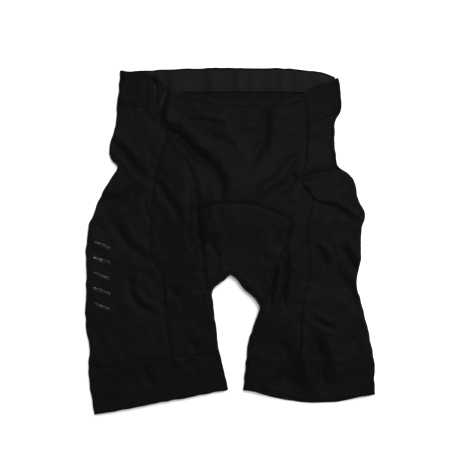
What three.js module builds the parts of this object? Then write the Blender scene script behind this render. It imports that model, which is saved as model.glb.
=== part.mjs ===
// Padded cycling-type shorts, lying flat with the front up.
// Millimetres, +Z up, +Y towards the waist. Right and left are the wearer's: right is at -X.
// Built from the crotch point outwards, then moved so that the origin is under the middle of the whole.
import * as THREE from 'three';

// Overall sizes of the flat garment. Heights are measured from the crotch point, up or down.
const waistWidth = 286;
const hipWidth = 354;
const hemSpread = 371; // outer hem corner to outer hem corner
const backRise = 270;
const sideRise = 261;
const frontRise = 226;
const inseam = 148;
const sideDrop = 167; // crotch level down to the outer hem corners

// How it happens to lie: the waist leans, and the two legs differ.
const waistTilt = 4; // the right waist corner is this much higher, the left one lower
const hemTilt = 13; // the right outer hem corner is this much lower, the left one higher
const hemSagLeft = 16;
const backTopRound = 2; // how soon the back waist edge rises from its corners

// Height of each cloth layer over the surface it lies on.
const clothThickness = 1;
const bodyLoft = 14;
const edgeRadius = 5.5; // round of the side folds and hems
const loftRamp = 62; // how far in from a fold the cloth takes to reach its full height

// Bands, seams and fits.
const waistbandDepth = 45;
const bindingDepth = 8;
const bindingThickness = 1.8;
const elasticDepth = 31;
const elasticThickness = 1.1;
const legBandShare = 0.39; // depth of a leg band over the length of its leg
const gripperShare = 0.14;
const gripperFoot = 0.99; // share of the leg at which the gripper ends, just short of the hem
const gripperThickness = 0.8;
const seamWidth = 3.2;
const clearance = 0.4;
const seamGap = seamWidth + 2 * clearance;
const inseamReach = 8; // the front panel goes this far round onto the back

// Panel widths from the middle of the garment, as [height, half width].
const frontPanelHalf = [[240, 87], [160, 93], [105, 99], [60, 102], [5, 95], [-60, 89], [-100, 82]];
const backPanelHalf = [[250, 104], [160, 112], [60, 124], [-10, 118], [-100, 108]];

// Crotch gusset and seat pad.
const gussetTop = 94;
const gussetBackTop = 60;
const gussetBackHalf = 32;
const gussetCornerRight = { x: -46, y: 87 };
const gussetCornerLeft = { x: 79, y: 69 };
const padInset = 4; // the pad's edge lies this far inside the gusset's front edge
const padBaseThickness = 0.6;
const padFoamThickness = 3.5;
const padSitThickness = 3.5;
const padTopThickness = 0.6;
const padFoldRadius = 4; // inside the folded pad
const padAirGap = 5; // between the front half of the pad and the sit-bone foam
const padBackReach = 152;
const padBackHalf = 84;
const padCrotchHalf = 27;
const sitFoamHalfWidth = 24;
const sitFoamHalfLength = 34;
const sitFoamCentre = { x: 38, y: 98 };
const sitFoamEdge = 0.5; // thickness at the rim of a sit-bone foam
const padBackCurve = 30; // how far the pad's back corners lie below its middle
const padBackFlare = 1.5; // how soon the pad widens behind the crotch
const padBackTaper = 0.25; // share of its width that the pad loses at its back end
const foamEdgeShare = 0.3; // thickness of the foam's edge over its full thickness
const foamRamp = { side: 8, front: 5, back: 6 }; // how soon the foam is full: higher is sooner
const sitRiseRadius = { flat: 1.15, fade: 0.5 }; // over the sit-bone foam's own radius

// How many facets each stretch is made of.
const facets = {
  body: 6, leg: 5, round: 6,
  front: 5, middle: 4, side: 6, sideBack: 3, back: 3, backMiddle: 2,
  waistFront: 4, waistBack: 8, waistband: 3, elastic: 2, binding: 9,
  legFront: 10, legBack: 5, legBand: 3,
  gusset: 8, gussetFront: 4, gussetBack: 3,
  pad: 12, padFront: 5, padBack: 9, sitFoam: 20,
};

// Sizes worked out from those above.
const padFit = 0.35;
const padBaseStart = clothThickness + padFit;
const padFoamStart = padBaseStart + padBaseThickness + padFit;
const padFoamEnd = padFoamStart + padFoamThickness;
const padStack = padFoamEnd + padFit + padTopThickness;
const crotchRadius = padStack + padFoldRadius;
const archHeight = 2 * padStack + padSitThickness + padFit + padAirGap;

// The line between the legs, from the right inner hem corner over the crotch to the left one.
const innerLine = new THREE.SplineCurve([
  new THREE.Vector2(-5, -inseam),
  new THREE.Vector2(-20, -0.62 * inseam),
  new THREE.Vector2(-26, -0.32 * inseam),
  new THREE.Vector2(-24, -19),
  new THREE.Vector2(-12, -5),
  new THREE.Vector2(2, 0),
  new THREE.Vector2(17, -14),
  new THREE.Vector2(33, -38),
  new THREE.Vector2(29, -64),
  new THREE.Vector2(21, -0.65 * inseam),
  new THREE.Vector2(14, -inseam),
]);
const forkRight = 0.3; // where on that line the right leg's inner fold begins
const forkLeft = 0.7;
const foldNarrowing = 1.4; // how soon a leg's inner fold narrows from the crotch's round to the hem's

// The side folds: half width of the even shape at each height, and how far the whole sways to the right.
const foldStations = [
  { at: sideRise, half: waistWidth / 2, sway: 5 },
  { at: sideRise - waistbandDepth, half: waistWidth / 2 + 2, sway: 6 },
  { at: 165, half: waistWidth / 2 + 5, sway: 13 },
  { at: 138, half: waistWidth / 2, sway: 6 },
  { at: 115, half: hipWidth / 2 - 14, sway: 2 },
  { at: 78, half: hipWidth / 2, sway: 5 },
  { at: 38, half: hipWidth / 2 + 2, sway: 12 },
  { at: -12, half: hipWidth / 2, sway: 14 },
  { at: -80, half: hemSpread / 2 - 3, sway: 4 },
  { at: -130, half: hemSpread / 2, sway: 0 },
  { at: -sideDrop, half: hemSpread / 2 - 3, sway: -2 },
];

// Small tools.

const mix = (from, to, share) => from + (to - from) * share;
const clamp01 = (value) => Math.min(1, Math.max(0, value));

function smooth(value) {
  const t = clamp01(value);
  return t * t * (3 - 2 * t);
}

// A smooth value through [height, value] pairs that run from the top down.
function valueAt(pairs, height) {
  const last = pairs.length - 1;
  if (height >= pairs[0][0]) return pairs[0][1];
  if (height <= pairs[last][0]) return pairs[last][1];
  let i = 0;
  while (height < pairs[i + 1][0]) i += 1;
  const slope = (a, b) => (pairs[b][1] - pairs[a][1]) / (pairs[b][0] - pairs[a][0]);
  const startSlope = slope(Math.max(i - 1, 0), i + 1);
  const endSlope = slope(i, Math.min(i + 2, last));
  const span = pairs[i + 1][0] - pairs[i][0];
  const t = (height - pairs[i][0]) / span;
  const rest = 1 - t;
  return (1 + 2 * t) * rest * rest * pairs[i][1] + t * rest * rest * span * startSlope
    + t * t * (3 - 2 * t) * pairs[i + 1][1] - t * t * rest * span * endSlope;
}

const steps = (count, from = 0, to = 1) => (
  Array.from({ length: count + 1 }, (_, i) => mix(from, to, i / count)));

// A closed sheet from patches of point pairs { out, in }. Patches that share edge points become one sheet.
function sheetSolid(patches) {
  const corners = [];
  const known = new Map();
  const indexOf = (pair) => {
    const key = pair.out.toArray().map((value) => value.toFixed(3)).join(' ');
    if (!known.has(key)) {
      known.set(key, corners.length);
      corners.push(pair);
    }
    return known.get(key);
  };
  const faces = [];
  patches.forEach((rows) => {
    for (let r = 0; r + 1 < rows.length; r += 1) {
      for (let c = 0; c + 1 < rows[r].length; c += 1) {
        const quad = [rows[r][c], rows[r + 1][c], rows[r + 1][c + 1], rows[r][c + 1]].map(indexOf);
        faces.push([quad[0], quad[1], quad[2]], [quad[0], quad[2], quad[3]]);
      }
    }
  });
  const kept = faces.filter(([a, b, c]) => a !== b && b !== c && c !== a);
  const edges = new Set(kept.flatMap(([a, b, c]) => [`${a} ${b}`, `${b} ${c}`, `${c} ${a}`]));
  const count = corners.length;
  const triangles = [];
  kept.forEach(([a, b, c]) => {
    triangles.push([a, b, c], [a + count, c + count, b + count]);
    [[a, b], [b, c], [c, a]].forEach(([from, to]) => {
      if (edges.has(`${to} ${from}`)) return;
      triangles.push([to, from, from + count], [to, from + count, to + count]);
    });
  });
  const points = corners.map((pair) => pair.out).concat(corners.map((pair) => pair.in));
  return solidFrom(points, triangles);
}

// A geometry from points and triangles, turned so that its faces point outwards.
function solidFrom(points, triangles) {
  const sixVolumes = triangles.reduce((sum, [a, b, c]) => (
    sum + points[a].dot(new THREE.Vector3().crossVectors(points[b], points[c]))), 0);
  const index = triangles.flatMap(([a, b, c]) => (sixVolumes > 0 ? [a, b, c] : [a, c, b]));
  const geometry = new THREE.BufferGeometry();
  const values = points.flatMap((point) => point.toArray());
  geometry.setAttribute('position', new THREE.Float32BufferAttribute(values, 3));
  geometry.setIndex(index);
  geometry.computeVertexNormals();
  return geometry;
}

// The shape that every cloth piece follows.

// Each side measures outwards from the middle: "reach" is the distance from the garment's middle line.
function makeSide(name, sign, gussetCorner, forkAt, hemAt, hemSag) {
  const fold = foldStations.map(({ at, half, sway }) => [at, half - sign * sway]);
  const waistY = sideRise - sign * waistTilt;
  return {
    name,
    sign,
    waistY,
    corner: { reach: sign * gussetCorner.x, y: gussetCorner.y },
    forkAt,
    hemAt,
    hemSag,
    hemY: -sideDrop + sign * hemTilt,
    foldReach: (y) => valueAt(fold, y),
    waistReach: valueAt(fold, waistY),
  };
}

const right = makeSide('right', -1, gussetCornerRight, forkRight, 0, 0);
const left = makeSide('left', 1, gussetCornerLeft, forkLeft, 1, hemSagLeft);
const sides = [right, left];

const fromWaistCorner = (side, reach) => clamp01(1 - reach / side.waistReach);
const frontTop = (side, reach) => mix(side.waistY, frontRise, smooth(fromWaistCorner(side, reach)));
const backTop = (side, reach) => (
  mix(side.waistY, backRise, smooth(backTopRound * fromWaistCorner(side, reach))));

// Upper edge of the gusset: an arch between its two corners, level outside them.
function gussetArch(side, reach) {
  const share = clamp01(reach / side.corner.reach);
  return mix(gussetTop, side.corner.y, share * share);
}

// A point on the inner line with the centre of the round fold behind it.
function innerFold(at, radius) {
  const edge = innerLine.getPoint(at);
  const tangent = innerLine.getTangent(at);
  const outward = new THREE.Vector2(tangent.y, -tangent.x);
  return { edge, outward, radius, centre: edge.clone().addScaledVector(outward, -radius) };
}

const halvings = 40; // enough to place a point on the inner line exactly

// The inner fold of a leg at a share of its length from the fork to the hem.
function legFold(side, share) {
  const forkY = innerLine.getPoint(side.forkAt).y;
  const wanted = mix(forkY, -inseam, share);
  let near = side.forkAt;
  let far = side.hemAt;
  for (let i = 0; i < halvings; i += 1) {
    const middle = (near + far) / 2;
    if (innerLine.getPoint(middle).y > wanted) near = middle;
    else far = middle;
  }
  return innerFold((near + far) / 2, mix(crotchRadius, edgeRadius, smooth(foldNarrowing * share)));
}

const innerReachOf = (side, fold) => side.sign * fold.centre.x;

// Rows run across one half of the garment, from its side fold inwards.
function makeRow(side, values) {
  const rimReach = side.foldReach(values.outerY) - edgeRadius;
  return { side, rimReach, fold: null, ...values };
}

// A row that is a set drop below the waist edge.
function waistRow(side, drop) {
  return makeRow(side, {
    outerY: side.waistY - drop,
    frontY: (reach) => frontTop(side, reach) - drop,
    backY: (reach) => backTop(side, reach) - drop,
    frontInner: side.corner.reach,
    backInner: gussetBackHalf,
    innerHeight: bodyLoft,
  });
}

// A row between the foot of the waistband and the gusset's arch.
function bodyRow(side, share) {
  const drop = waistbandDepth + seamGap;
  const frontStart = (reach) => frontTop(side, reach) - drop;
  return makeRow(side, {
    outerY: mix(side.waistY - drop, side.corner.y, share),
    frontY: (reach) => mix(frontStart(reach), gussetArch(side, reach), share),
    backY: (reach) => mix(backTop(side, reach) - drop, side.corner.y, share),
    frontInner: side.corner.reach,
    backInner: gussetBackHalf,
    innerHeight: mix(bodyLoft, archHeight, smooth(share)),
  });
}

// A level row beside the gusset.
function gussetRow(side, y) {
  const fork = legFold(side, 0);
  const share = (side.corner.y - y) / (side.corner.y - fork.centre.y);
  const backShare = clamp01((gussetBackTop - y) / (gussetBackTop - fork.centre.y));
  const forkReach = innerReachOf(side, fork);
  return makeRow(side, {
    outerY: y,
    frontY: () => y,
    backY: () => y,
    frontInner: mix(side.corner.reach, forkReach, share),
    backInner: mix(gussetBackHalf, forkReach, backShare),
    innerHeight: mix(archHeight, 2 * crotchRadius, smooth(share)),
  });
}

// A row across one leg, from level at the fork to the slant of the hem.
function legRow(side, share) {
  const fold = legFold(side, share);
  const innerReach = innerReachOf(side, fold);
  const outerY = mix(legFold(side, 0).centre.y, side.hemY, share);
  const foldReach = side.foldReach(outerY) - edgeRadius;
  const across = (reach) => (reach - innerReach) / (foldReach - innerReach);
  const straight = (reach) => mix(fold.centre.y, outerY, across(reach));
  const sag = (reach) => side.hemSag * share * 4 * across(reach) * (1 - across(reach));
  return makeRow(side, {
    outerY,
    fold,
    frontY: (reach) => straight(reach) - sag(reach),
    backY: straight,
    frontInner: innerReach,
    backInner: innerReach,
    innerHeight: 2 * fold.radius,
  });
}

// Outer height of the upper layer at a reach on a row.
function topHeight(row, reach) {
  const open = mix(2 * edgeRadius, bodyLoft, smooth((row.rimReach - reach) / loftRamp));
  return mix(row.innerHeight, open, smooth((reach - row.frontInner) / loftRamp));
}

const settleRounds = 12;
const settleShare = 0.7; // how far each round moves towards the table's value

// The reach at which a width table meets a row.
function seamReach(row, table, face) {
  const rowY = face === 'front' ? row.frontY : row.backY;
  let reach = valueAt(table, row.outerY);
  for (let i = 0; i < settleRounds; i += 1) {
    reach = mix(reach, valueAt(table, rowY(reach)), settleShare);
  }
  return reach;
}

const frontAt = (row, reach, depth) => (
  new THREE.Vector3(row.side.sign * reach, row.frontY(reach), topHeight(row, reach) - depth));
const backAt = (row, reach, depth) => new THREE.Vector3(row.side.sign * reach, row.backY(reach), depth);

function sideFoldAt(row, angle, depth) {
  const round = edgeRadius - depth;
  const reach = row.rimReach + round * Math.cos(angle);
  return new THREE.Vector3(row.side.sign * reach, row.outerY, edgeRadius + round * Math.sin(angle));
}

function innerFoldAt(fold, angle, depth) {
  const round = fold.radius - depth;
  const flat = fold.centre.clone().addScaledVector(fold.outward, round * Math.cos(angle));
  return new THREE.Vector3(flat.x, flat.y, fold.radius + round * Math.sin(angle));
}

// Reverses the rows of one half, so that both halves of a sheet face the same way.
const mirrored = (side, rows) => (side === right ? rows.map((row) => [...row].reverse()) : rows);

// Turns a point function into a pair for a layer between two depths under the outer face.
const layer = (from, to, point) => ({ out: point(from), in: point(to) });

// Stretches of a row: along the front, round the side fold, round the inner fold, along the back.
const alongFront = (row, from, to, count, band) => (
  steps(count, from, to).map((reach) => layer(...band, (depth) => frontAt(row, reach, depth))));
const alongBack = (row, from, to, count, band) => (
  steps(count, from, to).map((reach) => layer(...band, (depth) => backAt(row, reach, depth))));
const roundSide = (row, count, band, from = Math.PI / 2, to = -Math.PI / 2) => (
  steps(count, from, to).map((angle) => layer(...band, (depth) => sideFoldAt(row, angle, depth))));
const roundInner = (row, count, band, from = Math.PI / 2, to = -Math.PI / 2) => (
  steps(count, from, to).map((angle) => layer(...band, (depth) => innerFoldAt(row.fold, angle, depth))));

const cloth = [0, clothThickness];

// Rows that the panels share.

const bandAt = 1 - legBandShare; // share of the leg length at which its band begins
const legGapShare = seamGap / (inseam + sideDrop); // half a seam gap as a share of the mean leg length

function bodyRows(side) {
  return steps(facets.body).map((share) => bodyRow(side, share));
}

function gussetRows(side) {
  const forkY = legFold(side, 0).centre.y;
  const heights = [gussetBackTop, (gussetBackTop + forkY) / 2, forkY + seamGap];
  return heights.map((y) => gussetRow(side, y));
}

function legRows(side) {
  return steps(facets.leg, 0, bandAt - legGapShare).map((share) => legRow(side, share));
}

const panelRows = (side) => [...bodyRows(side), ...gussetRows(side), ...legRows(side)];
const seamRows = (side) => (
  [waistRow(side, bindingDepth + clearance), waistRow(side, waistbandDepth), ...panelRows(side)]);

// Where the cloth ends on either side of a front seam or a back side seam.
const besideFrontSeam = (row) => seamReach(row, frontPanelHalf, 'front') + seamGap / 2;
const withinFrontSeam = (row) => seamReach(row, frontPanelHalf, 'front') - seamGap / 2;
const besideBackSeam = (row) => seamReach(row, backPanelHalf, 'back') + seamGap / 2;
const withinBackSeam = (row) => seamReach(row, backPanelHalf, 'back') - seamGap / 2;

// Cloth panels.

// The front panel: one sheet from side seam to side seam, with the gusset's notch and both inner thighs.
function frontPanel() {
  const patches = sides.flatMap((side) => {
    const top = waistRow(side, bindingDepth + clearance);
    const above = [top, waistRow(side, waistbandDepth), ...bodyRows(side)];
    const beside = [...above, ...gussetRows(side), legRow(side, 0)];
    return [
      beside.map((row) => alongFront(row, withinFrontSeam(row), row.frontInner, facets.front, cloth)),
      above.map((row) => alongFront(row, row.frontInner, 0, facets.middle, cloth)),
      legRows(side).map((row) => (
        alongFront(row, withinFrontSeam(row), row.frontInner, facets.front, cloth))),
      legRows(side).map((row) => roundInner(row, facets.round, cloth)),
      legRows(side).map((row) => alongBack(row, row.backInner, row.backInner + inseamReach, 1, cloth)),
    ].map((rows) => mirrored(side, rows));
  });
  return sheetSolid(patches);
}

// A side panel: from the front seam round the side fold to the back seam.
function sidePanel(side) {
  return sheetSolid([panelRows(side).map((row) => [
    ...alongFront(row, besideFrontSeam(row), row.rimReach, facets.side, cloth),
    ...roundSide(row, facets.round, cloth).slice(1),
    ...alongBack(row, row.rimReach, besideBackSeam(row), facets.sideBack, cloth).slice(1),
  ])]);
}

// A back panel: flat on the surface, from the back side seam to the centre seam, gusset and inseam.
function backPanel(side) {
  const legEdge = (row) => row.backInner + inseamReach + seamGap;
  const above = [...bodyRows(side), gussetRow(side, gussetBackTop)];
  const beside = [...bodyRows(side), ...gussetRows(side)];
  return sheetSolid([
    panelRows(side).map((row) => alongBack(row, withinBackSeam(row), legEdge(row), facets.back, cloth)),
    beside.map((row) => alongBack(row, legEdge(row), row.backInner, 1, cloth)),
    above.map((row) => alongBack(row, row.backInner, seamGap / 2, facets.backMiddle, cloth)),
  ]);
}

// Waist.

// A path that leaves the front middle open: out from one front seam, round the back, to the other.
function openWaistPath(drop, band) {
  const half = (side) => {
    const row = waistRow(side, drop);
    return [
      ...alongFront(row, besideFrontSeam(row), row.rimReach, facets.waistFront, band),
      ...roundSide(row, facets.round, band).slice(1),
      ...alongBack(row, row.rimReach, 0, facets.waistBack, band).slice(1),
    ];
  };
  return [...half(right), ...half(left).reverse().slice(1)];
}

const waistRing = (drops, band) => sheetSolid([drops.map((drop) => openWaistPath(drop, band))]);

const waistband = () => waistRing(steps(facets.waistband, 0, waistbandDepth), cloth);

function waistElastic() {
  const start = clothThickness + padFit;
  const band = [start, start + elasticThickness];
  return waistRing(steps(facets.elastic, bindingDepth / 2, bindingDepth / 2 + elasticDepth), band);
}

function waistSeam() {
  return waistRing([waistbandDepth + clearance, waistbandDepth + seamGap - clearance], cloth);
}

// The bound front edge of the waist, a little thicker than the cloth.
function frontBinding() {
  const proud = (bindingThickness - clothThickness) / 2;
  const band = [-proud, clothThickness + proud];
  return sheetSolid(sides.map((side) => mirrored(side, [0, bindingDepth].map((drop) => {
    const row = waistRow(side, drop);
    return alongFront(row, withinFrontSeam(row), 0, facets.binding, band);
  }))));
}

// Seams.

function frontSeam(side) {
  return sheetSolid([seamRows(side).map((row) => {
    const middle = seamReach(row, frontPanelHalf, 'front');
    return alongFront(row, middle - seamWidth / 2, middle + seamWidth / 2, 1, cloth);
  })]);
}

function backSideSeam(side) {
  return sheetSolid([panelRows(side).map((row) => {
    const middle = seamReach(row, backPanelHalf, 'back');
    return alongBack(row, middle - seamWidth / 2, middle + seamWidth / 2, 1, cloth);
  })]);
}

function centreBackSeam() {
  const rows = [...bodyRows(right), gussetRow(right, gussetBackTop)];
  return sheetSolid([rows.map((row) => (
    alongBack(row, -seamWidth / 2, seamWidth / 2, facets.backMiddle, cloth)))]);
}

function inseamSeam(side) {
  return sheetSolid([legRows(side).map((row) => {
    const start = row.backInner + inseamReach + clearance;
    return alongBack(row, start, start + seamWidth, 1, cloth);
  })]);
}

// Leg bands.

// All the way round a leg, ending where it began.
const roundLeg = (row, band) => [
  ...alongFront(row, row.rimReach, row.frontInner, facets.legFront, band),
  ...roundInner(row, facets.round, band).slice(1),
  ...alongBack(row, row.backInner, row.rimReach, facets.legBack, band).slice(1),
  ...roundSide(row, facets.round, band, -Math.PI / 2, Math.PI / 2).slice(1),
];

const legRing = (side, shares, band) => (
  sheetSolid([shares.map((share) => roundLeg(legRow(side, share), band))]));

const legBand = (side) => legRing(side, steps(facets.legBand, bandAt + legGapShare, 1), cloth);

function legBandSeam(side) {
  const reach = legGapShare * (seamWidth / seamGap);
  return legRing(side, [bandAt - reach, bandAt + reach], cloth);
}

function legGripper(side) {
  const start = clothThickness + padFit;
  return legRing(side, [1 - gripperShare, gripperFoot], [start, start + gripperThickness]);
}

// Gusset.

const archOverChord = 1.2; // length of the crotch's curve over the straight line between the forks

// Length of the fold under the crotch, from fork to fork.
const archLength = archOverChord * innerLine.getPoint(forkRight).distanceTo(innerLine.getPoint(forkLeft));

// The fold under the crotch at a share across it, kept an inset away from the two forks.
function crotchFold(across, inset) {
  const margin = ((forkLeft - forkRight) * inset) / archLength / 2;
  return innerFold(mix(forkRight + margin, forkLeft - margin, across), crotchRadius);
}

// A lengthwise strip of points from the front edge, round the crotch fold, to the back edge.
function crotchStrip(across, inset, frontEdge, backEdge, bandOf, counts) {
  const fold = crotchFold(across, inset);
  const top = frontEdge(across, inset);
  const strip = [];
  steps(counts.front).forEach((share) => {
    const flat = top.clone().lerp(fold.centre, share);
    const height = mix(archHeight, 2 * crotchRadius, smooth(share));
    strip.push(layer(...bandOf('front', share, across, flat), (depth) => (
      new THREE.Vector3(flat.x, flat.y, height - depth))));
  });
  steps(facets.round, Math.PI / 2, -Math.PI / 2).slice(1).forEach((angle) => {
    strip.push(layer(...bandOf('round', 0, across, fold.edge), (depth) => innerFoldAt(fold, angle, depth)));
  });
  steps(counts.back).slice(1).forEach((share) => {
    const flat = backEdge(across, inset, share, fold.centre);
    strip.push(layer(...bandOf('back', share, across, flat), (depth) => (
      new THREE.Vector3(flat.x, flat.y, depth))));
  });
  return strip;
}

function gussetFront(across, inset) {
  const x = mix(gussetCornerRight.x + inset, gussetCornerLeft.x - inset, across);
  const side = x < 0 ? right : left;
  return new THREE.Vector2(x, gussetArch(side, Math.abs(x)) - inset);
}

function gussetBack(across, inset, share, start) {
  const half = gussetBackHalf - inset;
  const end = new THREE.Vector2(mix(-half, half, across), gussetBackTop - inset);
  return start.clone().lerp(end, share);
}

const gussetCounts = { front: facets.gussetFront, back: facets.gussetBack };
const gussetStrip = (across, inset) => (
  crotchStrip(across, inset, gussetFront, gussetBack, () => cloth, gussetCounts));

const crotchGusset = () => sheetSolid([steps(facets.gusset).map((across) => gussetStrip(across, seamGap))]);

// The seam all round the gusset, as one closed ribbon.
function gussetSeam() {
  const outline = (inset) => {
    const strips = steps(facets.gusset).map((across) => gussetStrip(across, inset));
    const lastStrip = strips[strips.length - 1];
    return [
      ...strips.map((strip) => strip[0]),
      ...lastStrip.slice(1),
      ...strips.map((strip) => strip[strip.length - 1]).reverse().slice(1),
      ...strips[0].slice().reverse().slice(1),
    ];
  };
  return sheetSolid([[outline(clearance), outline(seamGap - clearance)]]);
}

// Seat pad.

const padEdge = seamGap + padInset;

function padBack(across, inset, share, start) {
  const side = 2 * across - 1;
  const taper = 1 - padBackTaper * smooth(3 * share - 2);
  const half = mix(padCrotchHalf, padBackHalf, smooth(share * padBackFlare)) * taper;
  const y = mix(start.y, padBackReach - padBackCurve * side * side, share);
  return new THREE.Vector2(mix(start.x, side * half, smooth(share * 3)), y);
}

// How thick the foam is at a place on the pad: thin along its edge, full inside.
function foamFill(part, share, across) {
  const fromSide = smooth((0.5 - Math.abs(across - 0.5)) * foamRamp.side);
  let fromEnd = 1;
  if (part === 'front') fromEnd = smooth(share * foamRamp.front);
  if (part === 'back') fromEnd = smooth((1 - share) * foamRamp.back);
  return mix(foamEdgeShare, 1, Math.min(fromSide, fromEnd));
}

// Share of the sit-bone foam's thickness that the top cloth rises by at a place on the back half.
function sitRise(part, flat) {
  if (part !== 'back') return 0;
  const across = (Math.abs(flat.x) - sitFoamCentre.x) / sitFoamHalfWidth;
  const along = (flat.y - sitFoamCentre.y) / sitFoamHalfLength;
  return 1 - smooth((Math.hypot(across, along) - sitRiseRadius.flat) / sitRiseRadius.fade);
}

function padLayer(bandOf) {
  const counts = { front: facets.padFront, back: facets.padBack };
  return sheetSolid([steps(facets.pad).map((across) => (
    crotchStrip(across, padEdge, gussetFront, padBack, bandOf, counts)))]);
}

const padBase = () => padLayer(() => [padBaseStart, padBaseStart + padBaseThickness]);

const padFoam = () => padLayer((part, share, across) => (
  [padFoamStart, padFoamStart + padFoamThickness * foamFill(part, share, across)]));

const padTop = () => padLayer((part, share, across, flat) => {
  const foam = padFoamStart + padFoamThickness * foamFill(part, share, across);
  const start = foam + padFit + (padSitThickness + padFit) * sitRise(part, flat);
  return [start, start + padTopThickness];
});

const sitFoamRings = [0, 0.35, 0.65, 0.85, 1]; // shares of its radius

// A lens of firmer foam under one sit bone.
function sitFoam(side) {
  const bottom = padFoamEnd + padFit;
  const spokes = steps(facets.sitFoam, 0, 2 * Math.PI);
  return sheetSolid([sitFoamRings.map((ring) => spokes.map((angle) => {
    const x = side.sign * (sitFoamCentre.x + ring * sitFoamHalfWidth * Math.cos(angle));
    const y = sitFoamCentre.y + ring * sitFoamHalfLength * Math.sin(angle);
    const height = mix(sitFoamEdge, padSitThickness, 1 - ring * ring);
    return { out: new THREE.Vector3(x, y, bottom + height), in: new THREE.Vector3(x, y, bottom) };
  }))]);
}

// Transfer marks.

const markCount = 5;
const markPitch = 20;
const markTopHeight = 36;
const markReach = { from: 158, to: 181 };
const markSlant = 9;
const markHeight = 7;
const markFilm = [-0.65, -0.35]; // its two faces, above the side panel
const markFacets = 3;

function rowNear(side, y) {
  const forkY = legFold(side, 0).centre.y;
  return y > forkY ? gussetRow(side, y) : legRow(side, (forkY - y) / (forkY - side.hemY));
}

// One plain slanted bar of glossy film, just above the side panel.
function transferMark(number) {
  const top = markTopHeight - number * markPitch;
  const edge = (drop) => steps(markFacets).map((share) => {
    const row = rowNear(right, top + drop + markSlant * share);
    return layer(...markFilm, (depth) => frontAt(row, mix(markReach.from, markReach.to, share), depth));
  });
  return sheetSolid([[edge(0), edge(-markHeight)]]);
}

// Materials and assembly.

const material = (color, roughness) => (
  new THREE.MeshStandardMaterial({ color, roughness, metalness: 0 }));

const stretchCloth = material(0x17171a, 0.62);
const bandCloth = material(0x141414, 0.78);
const elasticCloth = material(0x202020, 0.8);
const thread = material(0x0f0f11, 0.6);
const foam = material(0x3a3a3c, 0.95);
const padCloth = material(0x1d1d20, 0.9);
const gripperSilicone = material(0x101010, 0.35);
const film = material(0x050506, 0.18);

const shorts = new THREE.Group();

function add(name, geometry, finish) {
  const mesh = new THREE.Mesh(geometry, finish);
  mesh.name = name;
  shorts.add(mesh);
}

add('front_panel', frontPanel(), stretchCloth);
add('crotch_gusset', crotchGusset(), stretchCloth);
add('waistband', waistband(), bandCloth);
add('waist_elastic', waistElastic(), elasticCloth);
add('front_waist_binding', frontBinding(), bandCloth);
add('waist_seam', waistSeam(), thread);
add('gusset_seam', gussetSeam(), thread);
add('centre_back_seam', centreBackSeam(), thread);
sides.forEach((side) => {
  add(`side_panel_${side.name}`, sidePanel(side), stretchCloth);
  add(`back_panel_${side.name}`, backPanel(side), stretchCloth);
  add(`leg_band_${side.name}`, legBand(side), bandCloth);
  add(`leg_gripper_${side.name}`, legGripper(side), gripperSilicone);
  add(`front_seam_${side.name}`, frontSeam(side), thread);
  add(`back_side_seam_${side.name}`, backSideSeam(side), thread);
  add(`inseam_${side.name}`, inseamSeam(side), thread);
  add(`leg_band_seam_${side.name}`, legBandSeam(side), thread);
  add(`pad_sit_foam_${side.name}`, sitFoam(side), foam);
});
add('pad_base_cloth', padBase(), padCloth);
add('pad_foam', padFoam(), foam);
add('pad_top_cloth', padTop(), padCloth);
for (let i = 0; i < markCount; i += 1) add(`transfer_mark_${i + 1}`, transferMark(i), film);

const box = new THREE.Box3().setFromObject(shorts);
const middle = box.getCenter(new THREE.Vector3());
shorts.position.set(-middle.x, -middle.y, -box.min.z);

export default shorts;
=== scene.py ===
import math

import bmesh
import bpy
import numpy as np
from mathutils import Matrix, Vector, noise
from mathutils.bvhtree import BVHTree


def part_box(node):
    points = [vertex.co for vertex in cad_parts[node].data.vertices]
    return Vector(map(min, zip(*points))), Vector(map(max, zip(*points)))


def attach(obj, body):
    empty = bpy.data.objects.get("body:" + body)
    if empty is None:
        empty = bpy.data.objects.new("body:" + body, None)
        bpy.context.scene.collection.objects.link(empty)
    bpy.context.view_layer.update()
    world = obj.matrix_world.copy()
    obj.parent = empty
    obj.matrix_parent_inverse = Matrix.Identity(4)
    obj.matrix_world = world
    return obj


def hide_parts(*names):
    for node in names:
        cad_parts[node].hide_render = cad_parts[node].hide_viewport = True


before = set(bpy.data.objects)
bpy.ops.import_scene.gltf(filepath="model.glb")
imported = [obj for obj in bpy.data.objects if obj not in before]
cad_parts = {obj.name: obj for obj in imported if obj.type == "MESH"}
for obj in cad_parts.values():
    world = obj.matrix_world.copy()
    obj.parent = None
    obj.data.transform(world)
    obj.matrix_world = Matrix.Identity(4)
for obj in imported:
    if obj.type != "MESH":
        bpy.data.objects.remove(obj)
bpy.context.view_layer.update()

mm = 0.001

# sizes, in millimetres from the crotch point
garment = {
    "backRise": 270, "sideRise": 261,
    "inseam": 150, "sideDrop": 169.5,
    "waistTilt": 4, "hemTilt": 13, "hemSag": 14,
    "waistbandDepth": 45, "bindingDepth": 8, "legBandShare": 0.39,
    "gussetTop": 94, "gussetSplit": 0.3, "hemOpening": 0.24,
    "edgeRound": 4.6, "loft": 11.0, "loftRamp": 60,
    "crotchRound": 8.8, "padHeight": 21.6,
    "clothThickness": 0.8, "underside": 0.6, "leastLift": 3.2, "settleRounds": 10, "searchRounds": 30,
}

# the frame gives the places: the centre back seam is the middle line, the waistband's top is the back rise
seamLow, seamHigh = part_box("centre_back_seam")
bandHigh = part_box("waistband")[1]
middleX = (seamLow.x + seamHigh.x) / 2
crotchY = bandHigh.y - garment["backRise"] * mm


def toFrame(point):
    return (middleX + point[0] * mm, crotchY + point[1] * mm, point[2] * mm)


def mix(start, end, share):
    return start + (end - start) * share


def smooth(value):
    t = min(1.0, max(0.0, value))
    return t * t * (3 - 2 * t)


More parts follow.
